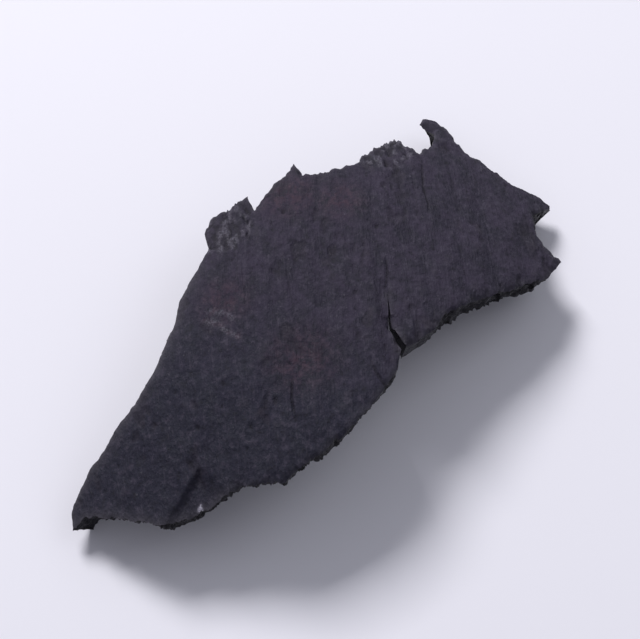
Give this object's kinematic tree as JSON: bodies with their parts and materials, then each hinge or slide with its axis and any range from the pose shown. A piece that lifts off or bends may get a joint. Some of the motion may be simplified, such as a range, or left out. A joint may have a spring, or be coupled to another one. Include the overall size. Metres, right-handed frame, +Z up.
{
  "type": "coconut shell charcoal piece",
  "caption": "Curved shard of coconut-shell charcoal with a ragged, splintered and cracked outline, lying with its outer face up.",
  "frame": {"origin": "on the ground, below the middle of the shard's box", "axes": "+X runs the long way, from the long tip towards the wide end with the horn and the beak; +Y towards the horn's side; +Z up, out of the nut's outer face, along the shortest extent"},
  "size_m": [0.0602, 0.0288, 0.0118],
  "materials": {
    "char": "charred, matte"
  },
  "bodies": {
    "root": {"charcoal_shard": "char"}
  },
  "joints": []
}
